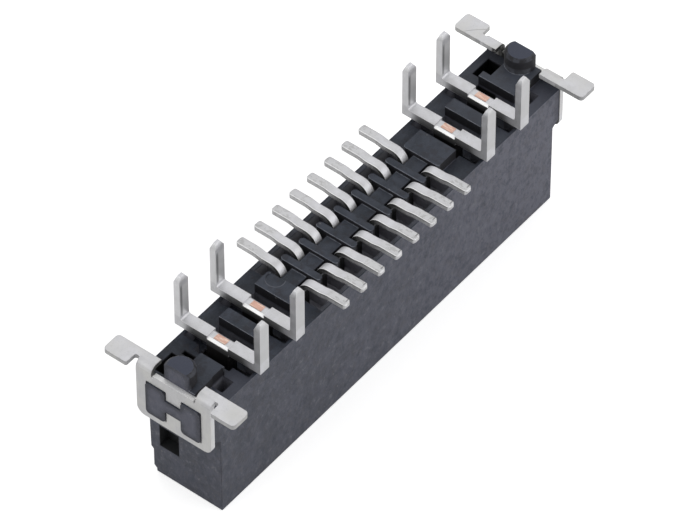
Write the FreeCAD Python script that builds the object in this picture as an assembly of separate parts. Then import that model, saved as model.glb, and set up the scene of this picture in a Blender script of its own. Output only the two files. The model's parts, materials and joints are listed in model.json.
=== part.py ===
"""A two-row board-to-board receptacle with signal contacts, power contacts and two hold-downs.

It stands on its mating face, with the side that is soldered to the circuit board upwards.
X runs along the rows, Y across them and Z up towards the board. The origin lies at the middle
of the mating face. All sizes are in millimetres.
"""
import FreeCAD, Part
import math
import os

V = FreeCAD.Vector

# Contact layout along the rows
PITCH = 1.27
SIGNALS_PER_ROW = 8
POWER_PER_END = 2
POWER_STEP = 2.54
END_MARGIN = 3.175

# Moulded housing, outer form
HALF_WIDTH = 2.11
RIM_HEIGHT = 7.07
RIDGE_RISE = 0.6
SPINE_RISE = 0.37
RIDGE_HALF_WIDTH = 1.04
NEAR_RIDGE_GAP = 0.32
NEAR_RIDGE_LEFT_REACH = 0.3
END_WALL_HEIGHT = 2.27
END_STEP_DEPTH = 0.45
END_SLOPE_RISE = 0.33
NOSE_CHAMFER = 0.05
KEY_SIDE_DRAFT = 0.11
KEY_STEP_HEIGHT = 1.6
KEY_STEP_DEPTH = 0.14
KEY_NOSE_HEIGHT = 0.22
KEY_NOSE_DEPTH = 0.16

# Recesses in the side that faces the board
POCKET_DEPTH = 1.0
SPINE_HALF_WIDTH = 0.42
SIGNAL_RIM_WALL = 0.23
RIB_WIDTH = 0.37
RIB_REACH = 1.13
RIB_END_SHARE = 0.95
TROUGH_NEAR = 0.76
TROUGH_FAR = 1.08
PIN_SLOT_WIDE_REACH = 0.5
PIN_SLOT_TIGHT_REACH = 0.35
PIN_RIM_WALL = 0.16
LEFT_CORE_SIDE = (0.6, 1.7)
LEFT_CORE_DEPTH = 1.6
LEFT_CORE_END_WALL = 0.45
RIGHT_CORE_SIDE = (-1.6, -1.0)
RIGHT_CORE_DEPTH = 1.0
RIGHT_CORE_LENGTH = 0.8
CORE_RIB_WIDTH = 0.37
NEAR_SLIT_SIDE = (0.6, 1.32)
NEAR_SLIT_WIDTH = 0.27
NEAR_SLIT_RIB = 0.19
NEAR_SLIT_INSET = 0.245
INDEX_MARK_RADIUS = 0.46
INDEX_MARK_DEPTH = 0.06

# Locating pegs, flattened by the end face
PEG_RADIUS = 0.75
PEG_INSET = 0.28
PEG_ABOVE_BOARD = 0.65
PEG_CHAMFER = 0.15

# Key hole in each end face, under the hold-down
KEY_HOLE_SIDE = (0.36, 1.48)
KEY_HOLE_HEIGHT = (1.97, 3.35)
KEY_HOLE_DEPTH = 0.6

# Cavities that open in the mating face
CAVITY_DEPTH = 4.9
SIGNAL_CAVITY_WIDTH = 0.78
SIGNAL_CAVITY_INNER = 0.42
SIGNAL_CAVITY_OUTER = 1.45
POWER_CAVITY_CLEARANCE = 0.1
BLADE_SLOT_LENGTH = 1.8
BLADE_SLOT_WIDTH = 0.9
LEAD_IN = 0.15

# Signal contact, bent from strip
BOARD_STANDOFF = 0.88
SIGNAL_WIDTH = 0.46
SIGNAL_THICKNESS = 0.28
SIGNAL_LEG_REACH = 0.5
SIGNAL_FOOT_REACH = 3.17
SIGNAL_FOOT_LENGTH = 1.05
SIGNAL_FOOT_CORNER = 0.11
SIGNAL_RAMP_LENGTH = 0.42
SIGNAL_DIP = 0.09
SIGNAL_ARCH_RADIUS = 0.52
SIGNAL_RAMP_RADIUS = 0.8
SIGNAL_BARB = 0.05
SIGNAL_BARB_LENGTH = 0.6
SIGNAL_BEAM_RADIUS = 1.2
SIGNAL_BUMP_REACH = 1.0
SIGNAL_BUMP_HEIGHT = 1.9
SIGNAL_BUMP_RADIUS = 0.35
SIGNAL_TIP_REACH = 0.74
SIGNAL_TIP_HEIGHT = 0.8
SIGNAL_TIP_CHAMFER = 0.07

# Power contact, stamped from thicker strip
POWER_THICKNESS = 0.62
POWER_BAR_HEIGHT = 0.58
POWER_BAR_ROLL = 0.2
POWER_BAR_UNDER_BOARD = 0.07
POWER_BAR_CORNER = 0.16
POWER_PIN_REACH = 2.47
POWER_PIN_DEPTH = 0.34
POWER_PIN_FILLET = 0.12
POWER_PIN_ABOVE_BOARD = 2.6
POWER_TIP_LENGTH = 0.3
POWER_TIP_SHARE = 0.45
POWER_NOTCH_HALF_WIDTH = 0.6
POWER_NOTCH_DEPTH = 0.08
POWER_NOTCH_BEVEL = 0.12
POWER_STUB_HALF_LENGTH = 0.33
POWER_STUB_WIDTH = 0.34
POWER_STUB_HEIGHT = 0.03
POWER_STEM_HALF_WIDTH = 0.62
POWER_SHOULDER_HALF_WIDTH = 1.25
POWER_SHOULDER_HEIGHT = 0.75
POWER_SHOULDER_CHAMFER = 0.1
POWER_FORK_GAP = 0.76
POWER_FORK_PINCH = 0.5
POWER_FORK_PINCH_HEIGHT = 1.75
POWER_FORK_ROOT_HEIGHT = 4.3
POWER_FORK_ROOT_SHARE = 0.95
POWER_FORK_HALF_WIDTH = 1.12
POWER_FORK_TIP_HALF_WIDTH = 0.9
POWER_FORK_TIP_HEIGHT = 0.75

# Hold-down, bent from sheet
SHEET = 0.25
FRAME_PROUD = 0.04
FRAME_FOOT_STRIP = 0.42
FRAME_CORNER = 0.45
FRAME_TOP_GAP = 0.4
TAB_START = 1.27
TAB_BEND_RADIUS = 0.3
TAB_INNER_REACH = 0.5
TAB_RELIEF = 0.1
PAD_NOTCH_WIDTH = 0.25
PAD_NOTCH_INSET = 0.06
PAD_NOTCH_ROUND = 0.1
PAD_END = 3.75
PAD_OUTER_REACH = 0.35
PAD_CORNER = 0.2

# Boss that fills the window of the hold-down
BOSS_PROUD = 0.08
BOSS_BELOW_RIM = 0.1
BOSS_LOBE_SIDE = (0.45, 1.57)
BOSS_LOBE_HEIGHT = 2.02
BOSS_NECK_DROP = 0.54
BOSS_NECK_HEIGHT = 0.73
BOSS_CORNER = 0.22
BOSS_NECK_OVERLAP = 0.2
WINDOW_GAP = 0.02
WINDOW_CORNER = 0.05

# Places that follow from the sizes above
board_plane = RIM_HEIGHT + BOARD_STANDOFF
ridge_top = RIM_HEIGHT + RIDGE_RISE
spine_top = RIM_HEIGHT + SPINE_RISE
pocket_floor = RIM_HEIGHT - POCKET_DEPTH
end_step = RIM_HEIGHT - END_WALL_HEIGHT
lobe_top = RIM_HEIGHT - BOSS_BELOW_RIM
lobe_bottom = lobe_top - BOSS_LOBE_HEIGHT
neck_top = lobe_top - BOSS_NECK_DROP
frame_foot = lobe_bottom - FRAME_FOOT_STRIP
frame_half_width = HALF_WIDTH + FRAME_PROUD
bar_top = board_plane - POWER_BAR_UNDER_BOARD
bar_bottom = bar_top - POWER_BAR_HEIGHT
notch_floor = bar_top - POWER_NOTCH_DEPTH
pin_top = board_plane + POWER_PIN_ABOVE_BOARD
signal_places = [(i - (SIGNALS_PER_ROW - 1) / 2) * PITCH for i in range(SIGNALS_PER_ROW)]
power_ends = [signal_places[-1] + POWER_STEP * (i + 1) for i in range(POWER_PER_END)]
power_places = sorted([-x for x in power_ends] + power_ends)
half_length = power_ends[-1] + END_MARGIN
foot_half_length = half_length - END_STEP_DEPTH
signal_field = signal_places[-1] + (PITCH - RIB_WIDTH) / 2
near_trough_edge = power_places[0] - TROUGH_NEAR
far_trough_edge = power_places[-1] + TROUGH_FAR


def along_x(a, b):
    """Place outline coordinates in a plane across the rows."""
    return V(0, a, b)


def along_y(a, b):
    """Place outline coordinates in a plane along the rows."""
    return V(a, 0, b)


def along_z(a, b):
    """Place outline coordinates in a level plane."""
    return V(a, b, 0)


def block(x, y, z):
    """Box between pairs of coordinates, given in either order."""
    low = V(min(x), min(y), min(z))
    return Part.makeBox(abs(x[1] - x[0]), abs(y[1] - y[0]), abs(z[1] - z[0]), low)


def rounded_face(corners, place):
    """Face inside an outline of (a, b, radius) corners; a radius of zero leaves a corner sharp."""
    starts = []
    ends = []
    middles = []
    count = len(corners)
    for i in range(count):
        a, b, radius = corners[i]
        point = place(a, b)
        if radius <= 0:
            starts.append(point)
            ends.append(point)
            middles.append(None)
            continue
        back = (place(*corners[i - 1][:2]) - point).normalize()
        ahead = (place(*corners[(i + 1) % count][:2]) - point).normalize()
        half_angle = back.getAngle(ahead) / 2
        reach = radius / math.tan(half_angle)
        bisector = (back + ahead).normalize()
        starts.append(point + back * reach)
        ends.append(point + ahead * reach)
        middles.append(point + bisector * (radius / math.sin(half_angle) - radius))
    edges = []
    for i in range(count):
        if middles[i] is not None:
            edges.append(Part.Arc(starts[i], middles[i], ends[i]).toShape())
        following = starts[(i + 1) % count]
        if ends[i].distanceToPoint(following) > 1e-6:
            edges.append(Part.LineSegment(ends[i], following).toShape())
    return Part.Face(Part.Wire(edges))


def strip_corners(path, thickness, end_chamfer=0.0):
    """Outline of a strip that follows (a, b, middle radius) points, with its ends chamfered."""
    half = thickness / 2
    left = []
    right = []
    for i, (a, b, radius) in enumerate(path):
        point = V(a, b, 0)
        before = point - V(*path[i - 1][:2], 0) if i > 0 else None
        after = V(*path[i + 1][:2], 0) - point if i < len(path) - 1 else None
        before = (before or after).normalize()
        after = (after or before).normalize()
        normal_in = V(-before.y, before.x, 0)
        normal_out = V(-after.y, after.x, 0)
        miter = (normal_in + normal_out) * (half / (1 + normal_in.dot(normal_out)))
        turn = before.cross(after).z
        inner = radius - half if turn > 0 else radius + half
        outer = radius + half if turn > 0 else radius - half
        if i in (0, len(path) - 1):
            inwards = after if i == 0 else before * -1
            for side, corners in ((1, left), (-1, right)):
                on_side = point + miter * side + inwards * end_chamfer
                on_end = point + miter * (side * (1 - end_chamfer / half))
                ordered = (on_end, on_side) if i == 0 else (on_side, on_end)
                corners.extend((corner.x, corner.y, 0) for corner in ordered)
        else:
            left.append((point.x + miter.x, point.y + miter.y, inner))
            right.append((point.x - miter.x, point.y - miter.y, outer))
    return left + right[::-1]


def prism(corners, place, start, length):
    """Solid made from an outline, moved and extruded square to its plane."""
    face = rounded_face(corners, place)
    across = (place(1, 0) - place(0, 0)).cross(place(0, 1) - place(0, 0))
    direction = V(abs(across.x), abs(across.y), abs(across.z))
    face.translate(direction * start)
    return face.extrude(direction * length)


def rectangle(x, y, height):
    """Level rectangular wire."""
    corners = [V(x[0], y[0], height), V(x[1], y[0], height), V(x[1], y[1], height), V(x[0], y[1], height)]
    return Part.makePolygon(corners + corners[:1])


def flare(x, y, low, high, grow):
    """Tapered opening that is wider by grow at its lower end."""
    wide = rectangle((x[0] - grow, x[1] + grow), (y[0] - grow, y[1] + grow), low)
    narrow = rectangle(x, y, high)
    return Part.makeLoft([wide, narrow], True, True)


def rounded_rectangle(a, b, radius):
    """Corners of a rounded rectangle between pairs of coordinates."""
    return [(a[0], b[0], radius), (a[1], b[0], radius), (a[1], b[1], radius), (a[0], b[1], radius)]


def mirrored_outline(half):
    """Close a half outline, listed from the middle outwards and round, by its mirror image."""
    return half + [(-a, b, radius) for a, b, radius in reversed(half)]


def at_both_ends(shape):
    """The shape of the far end and its mirror image at the near end."""
    return [shape, shape.mirror(V(0, 0, 0), V(1, 0, 0))]


def housing_body():
    """Outer form: the side outline and the end outline, each extruded, and their common part."""
    key_side = HALF_WIDTH - KEY_SIDE_DRAFT
    key_low = key_side - KEY_STEP_DEPTH
    key_nose = key_low - KEY_NOSE_DEPTH
    side = [
        (-HALF_WIDTH + NOSE_CHAMFER / 2, 0, 0),
        (-HALF_WIDTH, NOSE_CHAMFER, 0),
        (-HALF_WIDTH, RIM_HEIGHT, 0),
        (HALF_WIDTH, RIM_HEIGHT, 0),
        (key_side, KEY_STEP_HEIGHT, 0),
        (key_low, KEY_STEP_HEIGHT - KEY_STEP_DEPTH, 0),
        (key_low, KEY_NOSE_HEIGHT + KEY_NOSE_DEPTH, 0),
        (key_nose, KEY_NOSE_HEIGHT, 0),
        (key_nose, 0, 0),
    ]
    end_half = [
        (foot_half_length - NOSE_CHAMFER, 0, 0),
        (foot_half_length, NOSE_CHAMFER, 0),
        (foot_half_length, end_step, 0),
        (half_length, end_step + END_SLOPE_RISE, 0),
        (half_length, RIM_HEIGHT, 0),
    ]
    lengthwise = prism(side, along_x, -half_length, 2 * half_length)
    crosswise = prism(mirrored_outline(end_half), along_y, -HALF_WIDTH, 2 * HALF_WIDTH)
    return lengthwise.common(crosswise)


def ridge():
    """Raised middle of the board side: blocks between the troughs, ribs, and a lower spine."""
    low = RIM_HEIGHT - POCKET_DEPTH / 2
    heights = (low, ridge_top)
    sides = (-RIDGE_HALF_WIDTH, RIDGE_HALF_WIDTH)
    round_end = RIB_WIDTH / 2 * RIB_END_SHARE
    near_sides = (-RIDGE_HALF_WIDTH, NEAR_RIDGE_LEFT_REACH)
    parts = [block((-half_length, near_trough_edge - NEAR_RIDGE_GAP), near_sides, heights),
             block((far_trough_edge, half_length), sides, heights),
             block((-signal_field, signal_field), (-SPINE_HALF_WIDTH, SPINE_HALF_WIDTH), (low, spine_top))]
    for edge, field_edge in ((near_trough_edge, -signal_field), (far_trough_edge, signal_field)):
        outline = [(edge, -RIDGE_HALF_WIDTH, 0), (field_edge, -RIDGE_HALF_WIDTH, round_end),
                   (field_edge, RIDGE_HALF_WIDTH, round_end), (edge, RIDGE_HALF_WIDTH, 0)]
        parts.append(prism(outline, along_z, low, ridge_top - low))
    for x in signal_places[:-1]:
        middle = x + PITCH / 2
        stadium = rounded_rectangle((middle - RIB_WIDTH / 2, middle + RIB_WIDTH / 2),
                                    (-RIB_REACH, RIB_REACH), round_end)
        parts.append(prism(stadium, along_z, low, ridge_top - low))
    return parts[0].fuse(parts[1:])


def signal_pockets():
    """Pockets beside the spine, where the tails of the signal contacts come out."""
    half = (PITCH - RIB_WIDTH) / 2
    reach_out = HALF_WIDTH - SIGNAL_RIM_WALL
    cuts = []
    for x in signal_places:
        for side in (-1, 1):
            reach = (side * SPINE_HALF_WIDTH, side * reach_out)
            cuts.append(block((x - half, x + half), reach, (pocket_floor, ridge_top)))
    return cuts


def power_troughs():
    """Troughs across the ridge under the bars of the power contacts, with a slot out to each pin."""
    slot_half = HALF_WIDTH - PIN_RIM_WALL
    depth = (pocket_floor, ridge_top)
    cuts = []
    for x in power_places:
        cuts.append(block((x - TROUGH_NEAR, x + TROUGH_FAR), (-RIDGE_HALF_WIDTH, RIDGE_HALF_WIDTH), depth))
        for side in (-1, 1):
            slot = (x + side * PIN_SLOT_WIDE_REACH, x - side * PIN_SLOT_TIGHT_REACH)
            cuts.append(block(slot, (0, side * slot_half), depth))
    return cuts


def core_holes():
    """Core holes beside the pegs: deep on the left, in two at the near end, shallow on the right."""
    deep = (RIM_HEIGHT - LEFT_CORE_DEPTH, ridge_top)
    shallow = (RIM_HEIGHT - RIGHT_CORE_DEPTH, ridge_top)
    outer = half_length - LEFT_CORE_END_WALL
    slit = near_trough_edge - NEAR_SLIT_INSET
    split = slit - NEAR_SLIT_WIDTH - NEAR_SLIT_RIB
    inner = far_trough_edge + CORE_RIB_WIDTH
    cuts = [block((inner, outer), LEFT_CORE_SIDE, deep),
            block((inner, half_length), LEFT_CORE_SIDE, (RIM_HEIGHT, ridge_top)),
            block((-outer, split), LEFT_CORE_SIDE, deep),
            block((slit - NEAR_SLIT_WIDTH, slit), NEAR_SLIT_SIDE, deep)]
    for edge, way in ((near_trough_edge, -1), (far_trough_edge, 1)):
        start = edge + way * CORE_RIB_WIDTH
        cuts.append(block((start, start + way * RIGHT_CORE_LENGTH), RIGHT_CORE_SIDE, shallow))
    return cuts


def peg():
    """Locating peg of the far end: a chamfered round post cut flat in line with the end face."""
    top = board_plane + PEG_ABOVE_BOARD
    middle = half_length - PEG_INSET
    post = Part.makeCylinder(PEG_RADIUS, top - pocket_floor - PEG_CHAMFER, V(middle, 0, pocket_floor))
    crown_foot = V(middle, 0, top - PEG_CHAMFER)
    crown = Part.makeCone(PEG_RADIUS, PEG_RADIUS - PEG_CHAMFER, PEG_CHAMFER, crown_foot)
    outside = block((half_length, half_length + 2 * PEG_RADIUS), (-PEG_RADIUS, PEG_RADIUS),
                    (pocket_floor, top))
    return post.fuse(crown).cut(outside)


def boss_outlines(gap, corner):
    """Corner lists of the two lobes and the neck of the boss, grown by a gap all round."""
    inner, outer = BOSS_LOBE_SIDE
    heights = (lobe_bottom - gap, lobe_top + gap)
    lobes = [rounded_rectangle((inner - gap, outer + gap), heights, corner),
             rounded_rectangle((-outer - gap, -inner + gap), heights, corner)]
    neck_side = inner + BOSS_NECK_OVERLAP
    neck_heights = (neck_top - BOSS_NECK_HEIGHT - gap, neck_top + gap)
    neck = rounded_rectangle((-neck_side, neck_side), neck_heights, 0)
    return lobes + [neck]


def boss():
    """Boss of the far end, an H that stands through the window of the hold-down."""
    start = foot_half_length
    length = half_length + SHEET + BOSS_PROUD - start
    parts = [prism(outline, along_x, start, length) for outline in boss_outlines(0, BOSS_CORNER)]
    return parts[0].fuse(parts[1:])


def signal_cavities():
    """Cavities of the signal contacts and the tight slots above them that hold the contacts."""
    half = SIGNAL_CAVITY_WIDTH / 2
    slot_half = SIGNAL_WIDTH / 2 + SIGNAL_BARB
    cuts = []
    for x in signal_places:
        for side in (-1, 1):
            across = sorted((side * SIGNAL_CAVITY_INNER, side * SIGNAL_CAVITY_OUTER))
            along = (x - half, x + half)
            cuts.append(block(along, across, (0, CAVITY_DEPTH)))
            cuts.append(flare(along, across, 0, LEAD_IN, LEAD_IN / 2))
            held = sorted((side * SIGNAL_LEG_REACH, side * (SIGNAL_LEG_REACH + SIGNAL_THICKNESS)))
            cuts.append(block((x - slot_half, x + slot_half), held, (CAVITY_DEPTH, pocket_floor)))
    return cuts


def power_cavities():
    """Cavities of the power contacts, each with a slot for the mating blade."""
    half = POWER_THICKNESS / 2
    loose = half + POWER_CAVITY_CLEARANCE
    wide = POWER_SHOULDER_HALF_WIDTH + POWER_CAVITY_CLEARANCE
    cuts = []
    for x in power_places:
        blade_x = (x - BLADE_SLOT_LENGTH / 2, x + BLADE_SLOT_LENGTH / 2)
        blade_y = (-BLADE_SLOT_WIDTH / 2, BLADE_SLOT_WIDTH / 2)
        cuts.append(block((x - loose, x + loose), (-wide, wide), (0, CAVITY_DEPTH)))
        cuts.append(block(blade_x, blade_y, (0, CAVITY_DEPTH)))
        cuts.append(flare(blade_x, blade_y, 0, LEAD_IN, LEAD_IN))
        cuts.append(block((x - half, x + half), (-POWER_SHOULDER_HALF_WIDTH, POWER_SHOULDER_HALF_WIDTH),
                          (CAVITY_DEPTH, pocket_floor)))
    return cuts


def key_hole():
    """Square hole in the far end face, under the hold-down."""
    return block((foot_half_length - KEY_HOLE_DEPTH, foot_half_length), KEY_HOLE_SIDE, KEY_HOLE_HEIGHT)


def index_mark():
    """Shallow round mark beside the first signal contacts."""
    middle = V(-signal_field - INDEX_MARK_RADIUS / 2, INDEX_MARK_RADIUS, ridge_top - INDEX_MARK_DEPTH)
    return Part.makeCylinder(INDEX_MARK_RADIUS, INDEX_MARK_DEPTH, middle)


def make_housing():
    """Moulded housing with everything that is moulded on it and in it."""
    solid = housing_body().fuse(ridge())
    cuts = signal_pockets() + power_troughs() + core_holes() + signal_cavities() + power_cavities()
    cuts += at_both_ends(key_hole()) + [index_mark()]
    solid = solid.cut(cuts)
    solid = solid.fuse(at_both_ends(peg()) + at_both_ends(boss()))
    return solid.removeSplitter()


def signal_path():
    """Middle line of a signal contact, as (across, up, radius) from the foot's tip to the mating tip."""
    half = SIGNAL_THICKNESS / 2
    foot = board_plane - half
    dip = foot - SIGNAL_DIP
    leg = SIGNAL_LEG_REACH + half
    ramp_end = SIGNAL_FOOT_REACH - SIGNAL_FOOT_LENGTH
    return [
        (SIGNAL_FOOT_REACH, foot, 0),
        (ramp_end, foot, SIGNAL_RAMP_RADIUS),
        (ramp_end - SIGNAL_RAMP_LENGTH, dip, SIGNAL_RAMP_RADIUS),
        (leg, dip, SIGNAL_ARCH_RADIUS),
        (leg, CAVITY_DEPTH - SIGNAL_THICKNESS, SIGNAL_BEAM_RADIUS),
        (SIGNAL_BUMP_REACH, SIGNAL_BUMP_HEIGHT, SIGNAL_BUMP_RADIUS),
        (SIGNAL_TIP_REACH, SIGNAL_TIP_HEIGHT, 0),
    ]


def make_signal_contact():
    """Signal contact of the left row, standing at the origin."""
    corners = strip_corners(signal_path(), SIGNAL_THICKNESS, SIGNAL_TIP_CHAMFER)
    half = SIGNAL_WIDTH / 2
    plan = mirrored_outline([(half - SIGNAL_FOOT_CORNER, SIGNAL_FOOT_REACH, 0),
                             (half, SIGNAL_FOOT_REACH - SIGNAL_FOOT_CORNER, 0), (half, 0, 0)])
    strip = prism(corners, along_x, -half, SIGNAL_WIDTH).common(prism(plan, along_z, 0, board_plane))
    middle = (CAVITY_DEPTH + pocket_floor) / 2
    low = middle - SIGNAL_BARB_LENGTH / 2
    high = middle + SIGNAL_BARB_LENGTH / 2
    barb = [(half, low, 0), (half + SIGNAL_BARB, high, 0), (-half - SIGNAL_BARB, high, 0), (-half, low, 0)]
    barbs = prism(barb, along_y, SIGNAL_LEG_REACH, SIGNAL_THICKNESS)
    return strip.fuse(barbs).removeSplitter()


def power_outline():
    """Half outline of a power contact: bar, pin, stem, shoulder and fork."""
    pin_inner = POWER_PIN_REACH - POWER_PIN_DEPTH
    pin_shoulder = pin_top - POWER_TIP_LENGTH
    shoulder_top = (CAVITY_DEPTH + pocket_floor + POWER_SHOULDER_HEIGHT) / 2
    shoulder_bottom = shoulder_top - POWER_SHOULDER_HEIGHT
    beam = POWER_FORK_TIP_HALF_WIDTH - POWER_FORK_PINCH / 2
    return [
        (POWER_NOTCH_HALF_WIDTH, notch_floor, 0),
        (POWER_NOTCH_HALF_WIDTH, bar_top, 0),
        (pin_inner, bar_top, POWER_PIN_FILLET),
        (pin_inner, pin_shoulder, 0),
        (POWER_PIN_REACH, pin_shoulder, 0),
        (POWER_PIN_REACH, bar_bottom, POWER_BAR_CORNER),
        (POWER_STEM_HALF_WIDTH, bar_bottom, 0),
        (POWER_STEM_HALF_WIDTH, shoulder_top, 0),
        (POWER_SHOULDER_HALF_WIDTH, shoulder_top, 0),
        (POWER_SHOULDER_HALF_WIDTH, shoulder_bottom + POWER_SHOULDER_CHAMFER, 0),
        (POWER_SHOULDER_HALF_WIDTH - POWER_SHOULDER_CHAMFER, shoulder_bottom, 0),
        (POWER_FORK_HALF_WIDTH, shoulder_bottom, 0),
        (POWER_FORK_TIP_HALF_WIDTH, POWER_FORK_TIP_HEIGHT, beam / 3),
        (POWER_FORK_PINCH / 2 + beam / 3, POWER_FORK_TIP_HEIGHT, beam / 4),
        (POWER_FORK_PINCH / 2, POWER_FORK_PINCH_HEIGHT, beam),
        (POWER_FORK_GAP / 2, POWER_FORK_ROOT_HEIGHT - POWER_FORK_GAP, 0),
        (POWER_FORK_GAP / 2, POWER_FORK_ROOT_HEIGHT, POWER_FORK_GAP / 2 * POWER_FORK_ROOT_SHARE),
    ]


def pin_tip(side):
    """Pointed end of a power contact's pin on one side."""
    half = POWER_THICKNESS / 2
    across = sorted((side * POWER_PIN_REACH, side * (POWER_PIN_REACH - POWER_PIN_DEPTH)))
    middle = sum(across) / 2
    small_y = POWER_PIN_DEPTH * POWER_TIP_SHARE / 2
    small_x = half * POWER_TIP_SHARE
    base = rectangle((-half, half), across, pin_top - POWER_TIP_LENGTH)
    point = rectangle((-small_x, small_x), (middle - small_y, middle + small_y), pin_top)
    return Part.makeLoft([base, point], True, True)


def notch_bevel(side):
    """Wedge that bevels one long edge of the bar inside its notch."""
    edge = side * POWER_THICKNESS / 2
    wedge = [(edge, notch_floor - POWER_NOTCH_BEVEL, 0), (edge, notch_floor, 0),
             (edge - side * POWER_NOTCH_BEVEL, notch_floor, 0)]
    return prism(wedge, along_y, -POWER_NOTCH_HALF_WIDTH, 2 * POWER_NOTCH_HALF_WIDTH)


def bar_roll(side):
    """Corner that the rolled lower edge of the bar leaves free on one side."""
    edge = -POWER_THICKNESS / 2
    middle = bar_bottom + POWER_BAR_ROLL
    corner = block((edge, edge + POWER_BAR_ROLL), (side * POWER_STEM_HALF_WIDTH, side * POWER_PIN_REACH),
                   (bar_bottom, middle))
    start = V(edge + POWER_BAR_ROLL, -POWER_PIN_REACH, middle)
    return corner.cut(Part.makeCylinder(POWER_BAR_ROLL, 2 * POWER_PIN_REACH, start, V(0, 1, 0)))


def make_power_contact():
    """Power contact, standing at the origin."""
    plate = prism(mirrored_outline(power_outline()), along_x, -POWER_THICKNESS / 2, POWER_THICKNESS)
    plate = plate.cut([notch_bevel(-1), notch_bevel(1), bar_roll(-1), bar_roll(1)])
    stub = block((-POWER_STUB_WIDTH / 2, POWER_STUB_WIDTH / 2),
                 (-POWER_STUB_HALF_LENGTH, POWER_STUB_HALF_LENGTH),
                 (notch_floor - POWER_NOTCH_DEPTH, notch_floor + POWER_STUB_HEIGHT))
    return plate.fuse([pin_tip(-1), pin_tip(1), stub]).removeSplitter()


def hold_down_frame():
    """Upright plate of the far hold-down, with its window."""
    inner = half_length
    top = board_plane - FRAME_TOP_GAP
    shoulder = board_plane - SHEET - TAB_BEND_RADIUS
    middle_half = TAB_START - TAB_RELIEF
    corners = mirrored_outline([
        (middle_half, top, 0),
        (middle_half, shoulder, 0),
        (frame_half_width, shoulder, 0),
        (frame_half_width, frame_foot, FRAME_CORNER),
    ])
    plate = prism(corners, along_x, inner, SHEET)
    window = [prism(outline, along_x, inner, SHEET) for outline in boss_outlines(WINDOW_GAP, WINDOW_CORNER)]
    return plate.cut(window)


def hold_down_tab(side):
    """Bent tab of the far hold-down with its solder pad, on one side."""
    upright = half_length + SHEET / 2
    level = board_plane - SHEET / 2
    outer = half_length + SHEET
    start = half_length - TAB_INNER_REACH
    foot = board_plane - SHEET - TAB_BEND_RADIUS
    path = [(upright, foot, 0), (upright, level, TAB_BEND_RADIUS), (start, level, 0)]
    bend = prism(strip_corners(path, SHEET), along_y, TAB_START, frame_half_width - TAB_START)
    neck = half_length - PAD_NOTCH_INSET
    pad_start = frame_half_width + PAD_NOTCH_WIDTH
    pad = [
        (start, frame_half_width, 0),
        (start, PAD_END, PAD_CORNER),
        (outer + PAD_OUTER_REACH, PAD_END, PAD_CORNER),
        (outer + PAD_OUTER_REACH, pad_start, PAD_CORNER / 2),
        (neck, pad_start, PAD_NOTCH_ROUND),
        (neck, frame_half_width, 0),
    ]
    tab = bend.fuse(prism(pad, along_z, board_plane - SHEET, SHEET))
    return tab if side > 0 else tab.mirror(V(0, 0, 0), V(0, 1, 0))


def make_hold_down():
    """Hold-down of the far end."""
    return hold_down_frame().fuse([hold_down_tab(-1), hold_down_tab(1)]).removeSplitter()


def save(name, shape):
    """Write one piece as its own file."""
    shape.exportStep(os.path.join("parts", name + ".step"))


os.makedirs("parts", exist_ok=True)

save("housing", make_housing())

far_hold_down = make_hold_down()
save("hold_down_far", far_hold_down)
save("hold_down_near", far_hold_down.mirror(V(0, 0, 0), V(1, 0, 0)))

left_contact = make_signal_contact()
right_contact = left_contact.mirror(V(0, 0, 0), V(0, 1, 0))
for index, place in enumerate(signal_places, start=1):
    for row, contact in (("left", left_contact), ("right", right_contact)):
        placed = contact.copy()
        placed.translate(V(place, 0, 0))
        save("signal_%s_%d" % (row, index), placed)

power_contact = make_power_contact()
for index, place in enumerate(power_places, start=1):
    placed = power_contact.copy()
    placed.translate(V(place, 0, 0))
    save("power_%d" % index, placed)
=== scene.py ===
"""Finishes, light and camera for a board-to-board receptacle that stands on its mating face.

Lengths are in metres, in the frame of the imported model: X runs along the contact rows, Y across
them and Z up to the side that is soldered. Places and patterns in the finishes are in millimetres.
"""
import json
import math

import bpy
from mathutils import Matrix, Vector

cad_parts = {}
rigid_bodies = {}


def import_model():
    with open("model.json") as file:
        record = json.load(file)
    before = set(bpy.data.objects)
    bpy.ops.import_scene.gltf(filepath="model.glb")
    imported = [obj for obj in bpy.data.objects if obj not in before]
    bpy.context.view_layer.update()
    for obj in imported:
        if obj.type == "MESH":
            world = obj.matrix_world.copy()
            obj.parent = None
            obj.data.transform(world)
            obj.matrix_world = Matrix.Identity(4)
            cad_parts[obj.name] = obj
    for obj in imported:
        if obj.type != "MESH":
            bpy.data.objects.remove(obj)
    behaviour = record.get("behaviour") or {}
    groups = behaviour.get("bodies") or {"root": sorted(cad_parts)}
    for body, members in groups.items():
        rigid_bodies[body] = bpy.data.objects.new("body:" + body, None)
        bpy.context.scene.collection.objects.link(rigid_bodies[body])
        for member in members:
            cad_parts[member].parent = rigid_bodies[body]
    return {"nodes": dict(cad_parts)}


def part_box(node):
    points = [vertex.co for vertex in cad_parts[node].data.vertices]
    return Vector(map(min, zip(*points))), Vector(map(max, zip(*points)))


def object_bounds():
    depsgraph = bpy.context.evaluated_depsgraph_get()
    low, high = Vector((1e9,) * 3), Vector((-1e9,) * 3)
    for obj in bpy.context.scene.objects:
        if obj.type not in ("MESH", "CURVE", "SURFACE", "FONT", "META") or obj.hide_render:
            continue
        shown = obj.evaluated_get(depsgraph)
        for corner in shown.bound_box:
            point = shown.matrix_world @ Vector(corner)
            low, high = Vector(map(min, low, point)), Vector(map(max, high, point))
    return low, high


MM = 0.001

for leftover in list(bpy.data.objects):
    bpy.data.objects.remove(leftover)

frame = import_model()
cad_low, cad_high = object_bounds()
middle = (cad_low + cad_high) / 2


def reach(node, axis):
    """Lowest and highest place of a node along an axis, in millimetres."""
    return [corner["XYZ".index(axis)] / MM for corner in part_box(node)]


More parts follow.
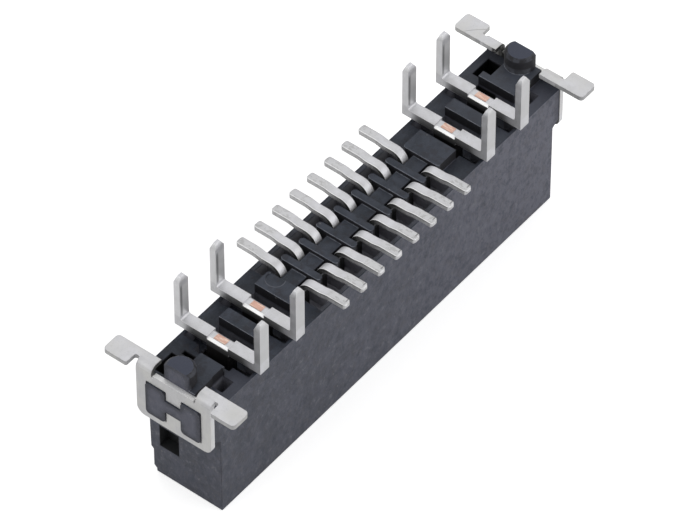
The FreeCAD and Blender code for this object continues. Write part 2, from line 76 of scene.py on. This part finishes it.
def centre(node, axis):
    """Middle of a node along an axis, in millimetres."""
    return sum(reach(node, axis)) / 2


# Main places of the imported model: heights over the mating face, then distances from the middle
SHEET_FOOT, BOARD_PLANE = reach("hold_down_far", "Z")
PEG_TOP = reach("housing", "Z")[1]
PIN_TOP = reach("power_4", "Z")[1]
BOARD_STANDOFF = 0.88
RIM_LEVEL = BOARD_PLANE - BOARD_STANDOFF
TAB_INNER_END = reach("hold_down_far", "X")[0]
BOSS_FACE = reach("housing", "X")[1]
LAST_SIGNAL = centre("signal_left_8", "X")
PITCH = LAST_SIGNAL - centre("signal_left_7", "X")
POWER_START = centre("power_3", "X")
POWER_STEP = centre("power_4", "X") - POWER_START
HALF_WIDTH = reach("housing", "Y")[1]
FOOT_END = reach("signal_left_8", "Y")[1]
PAD_END = reach("hold_down_far", "Y")[1]

# Camera, fitted to the photograph
IMAGE_WIDTH_PX = 700
FOCAL_LENGTH_PX = 6294.6
SENSOR_WIDTH_MM = 36.0
CLIP_START = 0.01
CAMERA_PLACE = Vector((-151.45, -119.67, 218.43)) * MM
CAMERA_AZIMUTH = math.radians(-51.63)
CAMERA_ELEVATION = math.radians(47.92)

# Softened edges of the moulding and of the stamped parts
MOULDED_EDGE = 0.03 * MM
STAMPED_EDGE = 0.035 * MM
MERGE_DISTANCE = 0.001 * MM
FLAT_ANGLE = math.radians(0.5)
EDGE_ANGLE = math.radians(35)
BEVEL_SAMPLES = 6

# Zones of the power contacts: heights, then distances along and across the rows
BAR_TOP = BOARD_PLANE - 0.07
BAR_FADE = 0.25
STEM_ZONE = BAR_TOP - 0.56
STUB_LEVELS = (BAR_TOP - 0.065, BAR_TOP - 0.02)
PIN_ZONE = BAR_TOP + 0.2
STRIPE_TOP = PIN_TOP - 0.55
NEAREST_PINS = POWER_START + POWER_STEP / 2
STRIPE_OFFSET = 0.19
STRIPE_HALF_WIDTH = 0.07
STUB_HALF_LENGTH = 0.34
BAR_FLANK_END = 1.7
PIN_INNER_FACE = 1.5

# Zones of the hold-downs, with a crease across one pad of the far one
LEDGE_ZONE = BOARD_PLANE - 0.33
PAD_LEVEL = BOARD_PLANE - 0.05
PAD_START = HALF_WIDTH + 0.07
TAB_START = 1.27
CUT_SIDE_END = TAB_START + 0.25
TUCKED_BEND = (0.4, TAB_START + 0.2)
PEG_SHADE_START = 0.5
CREASE_X = TAB_INNER_END + 0.44
CREASE_Y = PAD_END - 0.96
CREASE_SLOPE = 1.0
CREASE_BOW = 0.35
CREASE_HALF_WIDTH = 0.02
CREASED_PAD_START = CREASE_Y - 0.6

# Zones of the signal contacts: the height where the legs turn down, then places across the rows
LEG_ZONE = BOARD_PLANE - 0.7
BEND_SHADE_END = 1.2
FLANK_LINE_END = 1.6
FOOT_START = FOOT_END - 1.07
DENT_PLACE = FOOT_END - 0.15
DENT_HALF_WIDTH = 0.025

# Zones of the housing: heights, then distances from the middle planes
KEY_HOLE_LEVELS = (1.9, 3.4)
LOBE_ZONE = SHEET_FOOT - 0.63
DEEP_CORE_ZONE = SHEET_FOOT + 0.17
TROUGH_ZONE = RIM_LEVEL - 4.07
POCKET_ZONE = RIM_LEVEL - 1.17
RIDGE_ZONE = RIM_LEVEL + 0.29
PEG_FOOT = PEG_TOP - 0.6
PEG_ZONE = PEG_TOP - 0.3
KEY_HOLE_SIDES = (0.3, 1.52)
OUTER_STRIP_START = 0.9
OUTER_WALL_ZONE = HALF_WIDTH - 0.36
RIM_LINE_START = HALF_WIDTH - 0.11
INSIDE_HALF_WIDTH = HALF_WIDTH - 0.05
SIGNAL_FIELD = LAST_SIGNAL + 0.475
END_FACE = BOSS_FACE - 0.37
END_WALL_START = END_FACE - 0.3
KEY_HOLE_ENDS = (END_FACE - 1.16, END_FACE - 0.42)
TROUGH_END = END_FACE - 0.52
DEEP_CORE_START = END_FACE - 2.26
END_STRIP_START = DEEP_CORE_START - 0.6
INDEX_MARK = (-LAST_SIGNAL - 0.68, 0.46)
INDEX_MARK_RADIUS = 0.46
INDEX_MARK_LIGHT = (0.78, 0.62)

# Roundings that show as lines of another tone on the moulding and on the metal: painted highlights and
# painted shade along edges, and worn edges on the hold-downs
CORNER_LINE = 0.1 * MM
LOBE_ROUNDING = 0.65 * MM
RIDGE_LINE = 0.07 * MM
CROWN_LINE = 0.05 * MM
RIM_LINE = 0.06 * MM
SHEARED_SHADE_LINE = 0.09 * MM
EDGE_HIGHLIGHT_LINE = 0.05 * MM
FOOT_LINE = 0.06 * MM
WORN_LINE = 0.12 * MM

# Depth of the fine relief of both materials
MOULDED_RELIEF = 0.014 * MM
TINNED_RELIEF = 0.006 * MM

FLOOR_SIZE = 4.0
FLOOR_GAP = 0.02 * MM
FLOOR_TONE = 0.8
FLOOR_LIFT = 0.6
FLOOR_MIRROR_LIFT = 0.2
STUDIO_LEVEL = 0.5


class Value:
    """A value in a finish. Arithmetic on it adds Math nodes."""

    def __init__(self, finish, socket):
        self.finish = finish
        self.socket = socket

    def math(self, operation, *terms):
        """Result of a Math node."""
        return self.finish.node("ShaderNodeMath", {"operation": operation}, dict(enumerate(terms)))

    def __add__(self, other):
        return self.math("ADD", self, other)

    def __sub__(self, other):
        return self.math("SUBTRACT", self, other)

    def __rsub__(self, other):
        return self.math("SUBTRACT", other, self)

    def __mul__(self, other):
        return self.math("MULTIPLY", self, other)

    def __truediv__(self, other):
        return self.math("DIVIDE", self, other)

    def __neg__(self):
        return self * -1

    def size(self):
        """The value without its sign."""
        return self.math("ABSOLUTE", self)

    def nearest(self, step):
        """The value as a distance from the nearest of evenly spaced places."""
        return self.math("WRAP", self, step / 2, -step / 2)

    def above(self, limit, blur):
        """1 where the value is over a limit, 0 where it is under, with a soft step between."""
        return self.finish.node("ShaderNodeMapRange", {"interpolation_type": "SMOOTHSTEP"},
                                {"Value": self, "From Min": limit - blur, "From Max": limit + blur})

    def below(self, limit, blur):
        """1 where the value is under a limit, 0 where it is over, with a soft step between."""
        return 1 - self.above(limit, blur)

    def between(self, limits, blur):
        """1 where the value is between two limits, with soft steps."""
        return self.above(limits[0], blur) * self.below(limits[1], blur)

    __radd__ = __add__
    __rmul__ = __mul__


class Finish:
    """A procedural material and the means to write its nodes."""

    def __init__(self, name):
        self.material = bpy.data.materials.new(name)
        self.material.use_nodes = True
        self.tree = self.material.node_tree
        self.tree.nodes.clear()

    def node(self, kind, settings, inputs, output=0):
        """Add a node, its settings first and then its sockets' values or links; gives one output."""
        made = self.tree.nodes.new(kind)
        for name, setting in settings.items():
            setattr(made, name, setting)
        for name, value in inputs.items():
            if isinstance(value, Value):
                self.tree.links.new(value.socket, made.inputs[name])
            else:
                made.inputs[name].default_value = value
        return Value(self, made.outputs[output])

    def stretched_place(self, stretch):
        """Place on the part in millimetres, stretched for patterns that run one way."""
        metres = self.node("ShaderNodeTexCoord", {}, {}, "Object")
        factors = tuple(share / MM for share in stretch)
        return self.node("ShaderNodeVectorMath", {"operation": "MULTIPLY"}, {0: metres, 1: factors})

    def noise(self, scale, detail=3.0, stretch=(1, 1, 1), roughness=0.5):
        """Cloudy pattern with a number of features per millimetre."""
        return self.node("ShaderNodeTexNoise", {}, {"Vector": self.stretched_place(stretch), "Scale": scale,
                                                    "Detail": detail, "Roughness": roughness}, "Fac")

    def specks(self, scale, size):
        """Sparse small dots, a number of cells per millimetre."""
        place = self.stretched_place((1, 1, 1))
        distance = self.node("ShaderNodeTexVoronoi", {}, {"Vector": place, "Scale": scale}, "Distance")
        return distance.below(size, size / 3)

    def rounded_direction(self, radius):
        """Direction of the surface, as if its edges were rounded to a radius."""
        return self.node("ShaderNodeBevel", {"samples": BEVEL_SAMPLES}, {"Radius": radius})

    def rounded(self, radius, axis):
        """How far the surface faces along one axis, as if its edges were rounded to a radius."""
        return self.node("ShaderNodeSeparateXYZ", {}, {0: self.rounded_direction(radius)}, axis)

    def top_edge(self, radius):
        """1 along the edges between an upright side and a level top, 0 on flat ground."""
        up = self.rounded(radius, "Z")
        return up.above(0.22, 0.12) * up.below(0.95, 0.04)

    def edge(self, radius):
        """How far the surface turns within a radius: 0 on a flat, more at an edge."""
        directions = {0: self.rounded_direction(radius),
                      1: self.node("ShaderNodeNewGeometry", {}, {}, "True Normal")}
        return 1 - self.node("ShaderNodeVectorMath", {"operation": "DOT_PRODUCT"}, directions, "Value")

    def part_of(self, kind, output, axis):
        """One coordinate of a vector that a node gives."""
        vector = self.node(kind, {}, {}, output)
        return self.node("ShaderNodeSeparateXYZ", {}, {0: vector}, axis)

    def facing(self, axis):
        """How far the surface faces along one axis of the part, from -1 to 1."""
        return self.part_of("ShaderNodeNewGeometry", "Normal", axis)

    def place(self, axis):
        """Place along one axis of the part, in millimetres."""
        return self.part_of("ShaderNodeTexCoord", "Object", axis) / MM

    def mix(self, low, high, factor):
        """Colour between two colours."""
        return self.node("ShaderNodeMix", {"data_type": "RGBA"}, {0: factor, 6: low, 7: high}, 2)

    def bump(self, pattern, depth):
        """Surface direction of a fine relief of a depth in metres."""
        return self.node("ShaderNodeBump", {}, {"Height": pattern, "Distance": depth}, "Normal")

    def close(self, shader):
        """Give the material its shader."""
        output = self.tree.nodes.new("ShaderNodeOutputMaterial")
        self.tree.links.new(shader.socket, output.inputs["Surface"])
        return self.material

    def surface(self, **inputs):
        """Close the material with a principled surface; underscores in names stand for spaces."""
        sockets = {name.replace("_", " "): value for name, value in inputs.items()}
        return self.close(self.node("ShaderNodeBsdfPrincipled", {}, sockets))


def grey(level, red=0.0, blue=0.0):
    """Linear colour near a display level from 0 to 255, with a lean to red or blue."""
    def linear(value):
        share = value / 255
        return share / 12.92 if share <= 0.04045 else ((share + 0.055) / 1.055) ** 2.4
    return (linear(level + red), linear(level), linear(level + blue), 1.0)


class Moulding(Finish):
    """The housing's finish: the places, patterns and zones that its faces share, and those faces."""

    def __init__(self):
        super().__init__("moulded_plastic")
        self.x = self.place("X")
        self.y = self.place("Y")
        self.z = self.place("Z")
        self.from_middle = self.x.size()
        self.clouds = self.noise(0.9, 4.0, (0.7, 1.0, 1.0), 0.6)
        self.blotches = self.noise(3.2)
        self.scuffs = self.noise(4.0, 5.0, (1.0, 1.0, 0.7), 0.75)
        self.mottles = self.noise(2.6, 6.0, (1.0, 1.0, 0.8), 0.72)
        self.level_face = self.facing("Z").above(0.85, 0.1)
        self.over_rim = self.z.above(RIM_LEVEL + 0.05, 0.05)
        outer_wall = self.facing("Y").above(0.5, 0.1) * self.y.above(OUTER_WALL_ZONE, 0.03)
        between_walls = self.y.size().below(INSIDE_HALF_WIDTH, 0.02) * self.from_middle.below(END_FACE, 0.03)
        self.inside = between_walls * (1 - outer_wall)
        self.below_rim = self.z.below(RIM_LEVEL - 0.05, 0.1)

    def sides(self):
        """Upright faces: mottled, with painted shade over the rim inside the walls, on the end walls, along
        edges below the rim and on the bosses' rims, and painted light to the far end and on the bosses.
        """
        base = self.mix(grey(70, -2, 9), grey(79, -2, 11), self.clouds.above(0.5, 0.2))
        # Painted light: upright faces lighter towards the far end.
        base = self.mix(base, grey(102, -1, 12), self.x.above(2, 13) * 0.8)
        base = self.mix(base, grey(78, 2, 3), self.blotches.above(0.58, 0.1) * 0.4)
        base = self.mix(base, grey(56, -5, 12), self.mottles.above(0.57, 0.05) * 0.5)
        base = self.mix(base, grey(118, -2, 8), self.mottles.below(0.38, 0.04) * 0.45)
        base = self.mix(base, grey(60, -4, 11), self.scuffs.above(0.55, 0.04) * 0.38)
        base = self.mix(base, grey(106, -1, 10), self.scuffs.below(0.42, 0.04) * 0.3)
        # Painted shade: dark lines along edges below the rim, broken by blotches.
        corner = self.edge(CORNER_LINE).above(0.1, 0.06) * self.z.below(RIM_LEVEL - 0.1, 0.1)
        base = self.mix(base, grey(30, -3, 10), corner * self.blotches.above(0.42, 0.12) * 0.85)
        # Painted shade: upright faces over the rim inside the walls made dark.
        base = self.mix(base, grey(34, 0, 4), self.over_rim * self.inside)
        # Painted light: the bosses' faces made lighter; painted shade along their rounded rims.
        lobe = self.from_middle.above(END_FACE, 0.05) * self.z.above(LOBE_ZONE, 0.1)
        base = self.mix(base, grey(98, -1, 14), lobe * 0.4)
        lobe_rim = lobe * self.edge(LOBE_ROUNDING).above(0.03, 0.025)
        base = self.mix(base, grey(36, -1, 6), lobe_rim * (0.4 + self.scuffs * 0.7))
        # Painted shade: end walls below the rim made darker.
        end_wall = self.from_middle.above(END_WALL_START, 0.1) * (1 - lobe) * self.below_rim
        return self.mix(base, grey(54, -1, 8), end_wall * 0.42)

    def tops(self):
        """Level faces: bluer, and darker than the upright faces as painted shade, with painted light to the
        far end and on the outer strips near both ends.
        """
        base = self.mix(grey(48, -5, 9), grey(66, -5, 11), self.clouds.above(0.5, 0.18))
        base = self.mix(base, grey(44, 2, 5), self.blotches.above(0.58, 0.1) * 0.5)
        base = self.mix(base, grey(82, -4, 8), self.scuffs.below(0.38, 0.05) * 0.3)
        # Painted light: level faces lighter towards the far end.
        base = self.mix(base, grey(84, -3, 9), self.x.above(7, 4) * 0.35)
        # Painted light: rim-level outer strips near both ends made lighter.
        outer_strip = (-self.y).above(OUTER_STRIP_START, 0.6) * (1 - self.over_rim)
        end_strip = outer_strip * self.from_middle.above(END_STRIP_START, 0.3)
        base = self.mix(base, grey(84, -2, 12), end_strip * 0.5)
        return self.mix(base, grey(68, -4, 14), self.z.above(PEG_ZONE, 0.05))

    def hollows(self, base):
        """Painted light on the walls of the pockets and troughs, and painted shade, near black, in core
        holes and key holes.
        """
        within = self.below_rim * self.inside
        plus_side = self.y.above(0, 0.1)
        # Painted light: pocket walls below the rim made much lighter, and trough walls lighter.
        pockets = within * self.z.above(POCKET_ZONE, 0.05) * self.from_middle.below(SIGNAL_FIELD, 0.03)
        base = self.mix(base, self.mix(grey(160, 0, 8), grey(136, 0, 6), plus_side), pockets)
        troughs = self.from_middle.above(SIGNAL_FIELD, 0.03) * self.from_middle.below(TROUGH_END, 0.05)
        trough_walls = within * troughs * (1 - self.level_face) * self.z.above(TROUGH_ZONE, 0.5)
        base = self.mix(base, grey(124, 0, 8), trough_walls * 0.6)
        # Painted shade: deep core holes and key holes made near black.
        deep_cores = within * self.from_middle.above(DEEP_CORE_START, 0.05) * plus_side
        base = self.mix(base, grey(12), deep_cores * self.z.above(DEEP_CORE_ZONE, 0.1))
        key_holes = self.z.between(KEY_HOLE_LEVELS, 0.02) * self.from_middle.between(KEY_HOLE_ENDS, 0.02)
        key_holes = key_holes * self.y.between(KEY_HOLE_SIDES, 0.02) * self.inside
        return self.mix(base, grey(28, -1, 2), key_holes)

    def lit_edges(self, base):
        """Light lines on the ridges' edges to -X, on the pegs' crowns and on the rim's edge to -Y."""
        ridge = self.top_edge(RIDGE_LINE) * (-self.rounded(RIDGE_LINE, "X")).above(0.2, 0.12)
        ridge = ridge * self.z.above(RIDGE_ZONE, 0.05) * self.z.below(PEG_FOOT, 0.05)
        base = self.mix(base, grey(130, -4, 10), ridge * (0.45 + self.blotches.above(0.48, 0.12) * 0.55))
        crown = self.top_edge(CROWN_LINE) * self.z.above(PEG_ZONE, 0.05) * self.blotches.above(0.5, 0.08)
        base = self.mix(base, grey(86, -3, 10), crown * 0.4)
        rim = self.top_edge(RIM_LINE) * (-self.rounded(RIM_LINE, "Y")).above(0.2, 0.12)
        rim = rim * (1 - self.over_rim) * (-self.y).above(RIM_LINE_START, 0.1)
        return self.mix(base, grey(120, -3, 10), rim * self.scuffs.above(0.45, 0.1) * 0.5)

    def index_ring(self, base):
        """Round mark on the ridge by the first contact, lit on one half."""
        x = self.x - INDEX_MARK[0]
        y = self.y - INDEX_MARK[1]
        squares = x * x + y * y
        ring = (squares.math("SQRT", squares) - INDEX_MARK_RADIUS).size().below(0.03, 0.02)
        lit_half = (x * INDEX_MARK_LIGHT[0] + y * INDEX_MARK_LIGHT[1]).below(-0.1, 0.25)
        return self.mix(base, grey(104, -2, 9), ring * self.over_rim * lit_half * 0.8)


def moulded_plastic():
    """Matt dark moulding with flow clouds, scuffs and a fine grain."""
    finish = Moulding()
    # Painted light and shade: level faces take the darker, bluer tones of tops(), upright faces the lighter
    # ones of sides().
    base = finish.mix(finish.sides(), finish.tops(), finish.level_face)
    base = finish.hollows(base)
    base = finish.lit_edges(base)
    base = finish.index_ring(base)
    base = finish.mix(base, grey(140), finish.specks(1.1, 0.045) * 0.4)
    relief = finish.noise(22.0, 2.0) + finish.blotches * 0.6 + finish.scuffs * 0.5
    return finish.surface(Base_Color=base, Roughness=0.5 + finish.blotches * 0.16, Specular_IOR_Level=0.3,
                          Normal=finish.bump(relief, MOULDED_RELIEF))


def tinned_strip(name, dressing, level, dull_and_shade, metal, roughness):
    """Matt tin over strip, with clouds, drag marks, +X and -X faces that are partly duller cut faces and
    partly painted shade, painted highlights along the edges and a piece's own dressing.
    """
    finish = Finish(name)
    clouds = finish.noise(2.2)
    grain = finish.noise(30.0, 2.0, (1.0, 0.35, 1.0))
    pores = finish.noise(14.0, 3.0, (1.0, 0.7, 1.0), 0.7)
    streaks = finish.noise(9.0, 3.0, (1.0, 1.0, 0.25))
    base = finish.mix(grey(level - 14, 0, 2), grey(level, 0, 4), clouds.above(0.5, 0.25))
    base = finish.mix(base, grey(level - 34), pores.above(0.62, 0.06) * 0.35)
    # Faces to +X and -X: partly duller cut faces, partly painted shade, with a painted dark line under their
    # top edge.
    sheared_and_shaded = finish.mix(grey(level - 62, 2, -2), grey(level - 24, 1, 0), streaks.above(0.5, 0.2))
    sheared_and_shaded = finish.mix(sheared_and_shaded, grey(level - 116), finish.rounded(SHEARED_SHADE_LINE, "Z").above(0.12, 0.08))
    base = finish.mix(base, sheared_and_shaded, finish.facing("X").size().above(0.8, 0.1) * dull_and_shade)
    # Painted highlight along all edges.
    base = finish.mix(base, grey(min(level + 30, 250)), finish.edge(EDGE_HIGHLIGHT_LINE).above(0.15, 0.12) * 0.5)
    base = dressing(finish, base)
    return finish.surface(Base_Color=base, Metallic=metal, Roughness=roughness + clouds * 0.14,
                          Normal=finish.bump(grain + clouds + pores, TINNED_RELIEF))


def signal_wear_and_shade(finish, base):
    """Signal contacts: warmer, marked soldering feet, painted shade on the flanks at the bends and on the
    legs below, and painted highlights along the top edges to -X.
    """
    x = finish.place("X")
    y = finish.place("Y")
    across = y.size()
    foot = across.above(FOOT_START, 0.2)
    marks = finish.noise(6.0, 4.0, (1.0, 0.6, 1.0), 0.7).above(0.56, 0.05)
    base = finish.mix(base, grey(206, 0, 1), foot * 0.6)
    base = finish.mix(base, grey(158, 1, -2), foot * marks * 0.45)
    dent = (across - DENT_PLACE).size().below(DENT_HALF_WIDTH, 0.015) * y.below(0, 0.1)
    dent = dent * (x - PITCH / 2).nearest(PITCH).above(0.02, 0.03)
    base = finish.mix(base, grey(110), dent * 0.8)
    # Painted shade: flanks to -X dark near the bends, and a painted dark line under their top edge.
    flank = (-finish.facing("X")).above(0.8, 0.1)
    base = finish.mix(base, grey(60), flank * across.below(BEND_SHADE_END, 0.55) * 0.75)
    line = flank * finish.rounded(SHEARED_SHADE_LINE, "Z").above(0.1, 0.07) * y.below(FLANK_LINE_END, 0.3)
    base = finish.mix(base, grey(56), line * 0.6)
    # Painted highlight along the top edges to -X.
    painted_highlight_edge = finish.facing("Z").above(0.4, 0.1) * (-finish.rounded(FOOT_LINE, "X")).above(0.26, 0.1)
    base = finish.mix(base, grey(253), painted_highlight_edge * 0.75)
    # Painted shade: legs below the turn made dark.
    return finish.mix(base, grey(52), finish.place("Z").below(LEG_ZONE, 0.12))


def pin_stripe_and_light(finish, base):
    """Power contacts, pins: a darker stripe up the inner faces to +Y, painted light on the rest of those
    faces and on the -X faces of the pins to +Y, and painted shade on the faces to -Y and the nearest -X
    faces of the pins to -Y.
    """
    x = finish.place("X")
    y = finish.place("Y")
    height = finish.place("Z")
    plus_pins = y.above(0, 0.1)
    on_pin = height.above(PIN_ZONE, 0.08)
    to_viewer = (-finish.facing("Y")).above(0.8, 0.1)
    inner = to_viewer * y.above(PIN_INNER_FACE, 0.1) * on_pin * height.below(STRIPE_TOP, 0.15)
    near_half = x.below(0, 0.1)
    from_contact = (x - POWER_START + near_half * (2 * POWER_START)).nearest(POWER_STEP)
    stripe = (from_contact + STRIPE_OFFSET).size().below(STRIPE_HALF_WIDTH, 0.03)
    base = finish.mix(base, grey(126), inner * stripe * 0.68)
    # Painted light: the rest of the inner faces made lighter.
    base = finish.mix(base, grey(240), inner * (1 - stripe) * 0.6)
    # Painted shade: faces to -Y of the pins to -Y.
    base = finish.mix(base, grey(200), on_pin * to_viewer * (1 - plus_pins) * 0.65)
    # Painted light on the -X faces of the pins to +Y, painted shade on those of the nearest pins to -Y.
    pin_side = on_pin * (-finish.facing("X")).above(0.8, 0.1)
    base = finish.mix(base, grey(244), pin_side * plus_pins * 0.35)
    nearest = (1 - plus_pins) * (-x).above(NEAREST_PINS, 0.4)
    return finish.mix(base, grey(150), pin_side * nearest * 0.3)


def shaded_power_bar(finish, base):
    """Power contacts: painted shade on the flanks and the stem, painted highlights on the notch bevels, the
    pins' stripe and painted light, and a copper core.
    """
    across = finish.place("Y").size()
    height = finish.place("Z")
    # Painted shade: the bar's flanks to -X, darkest low down.
    flank = (-finish.facing("X")).above(0.9, 0.06) * height.below(BAR_TOP - 0.02, 0.02)
    flank_tone = finish.mix(grey(60), grey(122), height.above(BAR_TOP - BAR_FADE, BAR_FADE))
    base = finish.mix(base, flank_tone, flank * across.below(BAR_FLANK_END, 0.35) * 0.85)
    # Painted highlight: notch bevels made near white.
    bevel = finish.facing("Z").above(0.5, 0.15) * (-finish.facing("X")).above(0.5, 0.15)
    base = finish.mix(base, grey(253), bevel * height.below(BAR_TOP - 0.06, 0.02))
    # Painted shade: the stem below the bar made dark.
    base = finish.mix(base, grey(46, 2, 0), height.below(STEM_ZONE, 0.06))
    base = pin_stripe_and_light(finish, base)
    stub = height.between(STUB_LEVELS, 0.004) * across.below(STUB_HALF_LENGTH, 0.02)
    streak = finish.noise(7.0, 2.0, (2.5, 0.3, 1.0)).above(0.56, 0.06)
    copper = finish.mix((0.72, 0.445, 0.355, 1.0), (0.86, 0.67, 0.56, 1.0), streak)
    return finish.mix(base, copper, stub)


def pressed_sheet(finish, base):
    """Hold-downs: darker cut edges, painted shade on the cut sides at the bends, the inner faces, the
    upright faces under the tabs, behind the peg and in the tucked bend, painted light on the ledges, worn
    edges and one fine crease.
    """
    x = finish.place("X")
    y = finish.place("Y")
    across = y.size()
    height = finish.place("Z")
    far_half = x.above(0, 0.1)
    under_tabs = height.below(LEDGE_ZONE, 0.02)
    pad_edge = (1 - finish.facing("Z").size().above(0.5, 0.2)) * across.above(PAD_START, 0.03)
    base = finish.mix(base, grey(150, 0, 1), pad_edge * 0.7)
    # Painted shade: faces turned inwards under the tabs made dark.
    inwards = (finish.facing("X") * (1 - far_half * 2)).above(0.4, 0.2)
    base = finish.mix(base, grey(40), inwards * height.below(LEDGE_ZONE - 0.04, 0.03) * 0.9)
    # Painted shade: cut sides at the bends, facing the middle, made dark.
    to_middle = (finish.facing("Y") * (1 - y.above(0, 0.1) * 2)).above(0.8, 0.1)
    base = finish.mix(base, grey(56), to_middle * across.below(CUT_SIDE_END, 0.08) * 0.85)
    past_crease = y - CREASE_Y
    crease_place = CREASE_X - CREASE_SLOPE * past_crease - CREASE_BOW * (past_crease * past_crease)
    crease = (x - crease_place).size().below(CREASE_HALF_WIDTH, 0.015)
    on_pad = far_half * y.above(CREASED_PAD_START, 0.05) * height.above(PAD_LEVEL, 0.02)
    base = finish.mix(base, grey(120), crease * on_pad * 0.7)
    # Painted light: level ledges under the tabs made near white.
    ledge = finish.facing("Z").above(0.4, 0.2) * under_tabs
    base = finish.mix(base, grey(252), ledge * 0.8)
    # Painted shadow of the peg on the far ledge, broken by speckle.
    speckle = finish.noise(6.0).above(0.4, 0.12)
    base = finish.mix(base, grey(44), ledge * far_half * y.above(PEG_SHADE_START, 0.1) * speckle * 0.9)
    # Painted shade: upright faces under the tabs drawn towards a mid grey.
    upright = finish.facing("X").size().above(0.8, 0.1) * under_tabs
    base = finish.mix(base, grey(180), upright * 0.5)
    worn = finish.edge(WORN_LINE).above(0.1, 0.08) * finish.noise(5.0, 4.0, (1, 1, 1), 0.7).above(0.5, 0.06)
    base = finish.mix(base, grey(140), worn * height.above(LEDGE_ZONE, 0.02) * 0.45)
    base = finish.mix(base, grey(208, 1, -6), finish.noise(1.1).above(0.52, 0.12) * 0.4)
    # Painted shade: the tucked bend of the far hold-down made dark.
    tucked = far_half * y.above(TUCKED_BEND[0], 0.1) * y.below(TUCKED_BEND[1], 0.06)
    tucked = tucked * finish.facing("Z").below(0.8, 0.08) * finish.facing("X").below(0.2, 0.1)
    return finish.mix(base, grey(34), tucked * (0.6 + finish.noise(5.0).above(0.45, 0.1) * 0.35))


def dress(names, material, edge):
    """Give nodes a finish and softened edges."""
    for name in names:
        node = frame["nodes"][name]
        for material_slot in node.material_slots:
            material_slot.material = material
        weld = node.modifiers.new("merge", "WELD")
        weld.merge_threshold = MERGE_DISTANCE
        flatten = node.modifiers.new("flatten", "DECIMATE")
        flatten.decimate_type = "DISSOLVE"
        flatten.angle_limit = FLAT_ANGLE
        bevel = node.modifiers.new("soften", "BEVEL")
        bevel.width = edge
        bevel.segments = 2
        bevel.limit_method = "ANGLE"
        bevel.angle_limit = EDGE_ANGLE
        node.modifiers.new("shade", "WEIGHTED_NORMAL")


def direction(azimuth, elevation):
    """Direction from the part for an azimuth from -Y round to +X and an elevation, in radians."""
    return Vector((math.sin(azimuth) * math.cos(elevation), -math.cos(azimuth) * math.cos(elevation),
                   math.sin(elevation)))


def stand(thing, place, back):
    """Put a lamp or a camera at a place, with its back to a direction."""
    bpy.context.scene.collection.objects.link(thing)
    thing.location = place
    thing.rotation_mode = "QUATERNION"
    thing.rotation_quaternion = back.to_track_quat("Z", "Y")


def soft_light(name, azimuth, elevation, distance, size, power):
    """Square studio light that faces the part from a direction in degrees."""
    lamp = bpy.data.lights.new(name, "AREA")
    lamp.size = size
    lamp.energy = power
    way = direction(math.radians(azimuth), math.radians(elevation))
    stand(bpy.data.objects.new(name, lamp), middle + way * distance, way)


def make_floor():
    """Plain pale floor, lifted to white for the camera and for reflections."""
    finish = Finish("pale_floor")
    diffuse = finish.node("ShaderNodeBsdfDiffuse", {}, {"Color": (FLOOR_TONE, FLOOR_TONE, FLOOR_TONE, 1.0)})
    camera, mirrored, through = [finish.node("ShaderNodeLightPath", {}, {}, ray)
                                 for ray in ("Is Camera Ray", "Is Glossy Ray", "Is Transmission Ray")]
    seen = camera * FLOOR_LIFT + (mirrored + through) * FLOOR_MIRROR_LIFT
    glow = finish.node("ShaderNodeEmission", {}, {"Color": (1.0, 1.0, 1.0, 1.0), "Strength": seen})
    both = finish.node("ShaderNodeAddShader", {}, {0: diffuse, 1: glow})
    finish.close(both)
    bpy.ops.mesh.primitive_plane_add(size=FLOOR_SIZE, location=(0, 0, -FLOOR_GAP))
    floor = bpy.context.object
    floor.name = "floor"
    floor.data.materials.append(finish.material)


def make_world():
    """Even soft light from all round."""
    world = bpy.data.worlds.new("studio")
    world.use_nodes = True
    background = world.node_tree.nodes["Background"]
    background.inputs["Color"].default_value = (1.0, 1.0, 1.0, 1.0)
    background.inputs["Strength"].default_value = STUDIO_LEVEL
    bpy.context.scene.world = world


def make_camera():
    """Long-lens camera at the photograph's viewing angle."""
    lens = bpy.data.cameras.new("camera")
    lens.sensor_width = SENSOR_WIDTH_MM
    lens.lens = FOCAL_LENGTH_PX / IMAGE_WIDTH_PX * SENSOR_WIDTH_MM
    lens.clip_start = CLIP_START
    camera = bpy.data.objects.new("camera", lens)
    stand(camera, CAMERA_PLACE, direction(CAMERA_AZIMUTH, CAMERA_ELEVATION))
    bpy.context.scene.camera = camera


signals = [name for name in frame["nodes"] if name.startswith("signal_")]
powers = [name for name in frame["nodes"] if name.startswith("power_")]
hold_downs = [name for name in frame["nodes"] if name.startswith("hold_down_")]

signal_tin = tinned_strip("tinned_signal_strip", signal_wear_and_shade, level=220, dull_and_shade=0.7, metal=0.7, roughness=0.44)
power_tin = tinned_strip("tinned_power_strip", shaded_power_bar, level=218, dull_and_shade=0.2, metal=0.7, roughness=0.4)
sheet_tin = tinned_strip("tinned_sheet", pressed_sheet, level=227, dull_and_shade=0.25, metal=0.45, roughness=0.55)
dress(["housing"], moulded_plastic(), MOULDED_EDGE)
dress(signals, signal_tin, STAMPED_EDGE)
dress(powers, power_tin, STAMPED_EDGE)
dress(hold_downs, sheet_tin, STAMPED_EDGE)

make_floor()
make_world()
soft_light("key", azimuth=28, elevation=24, distance=0.40, size=0.44, power=0.80)
soft_light("back", azimuth=128, elevation=50, distance=0.30, size=0.30, power=0.20)
soft_light("left", azimuth=-115, elevation=26, distance=0.30, size=0.20, power=0.22)
make_camera()
bpy.context.scene.view_settings.view_transform = "Standard"
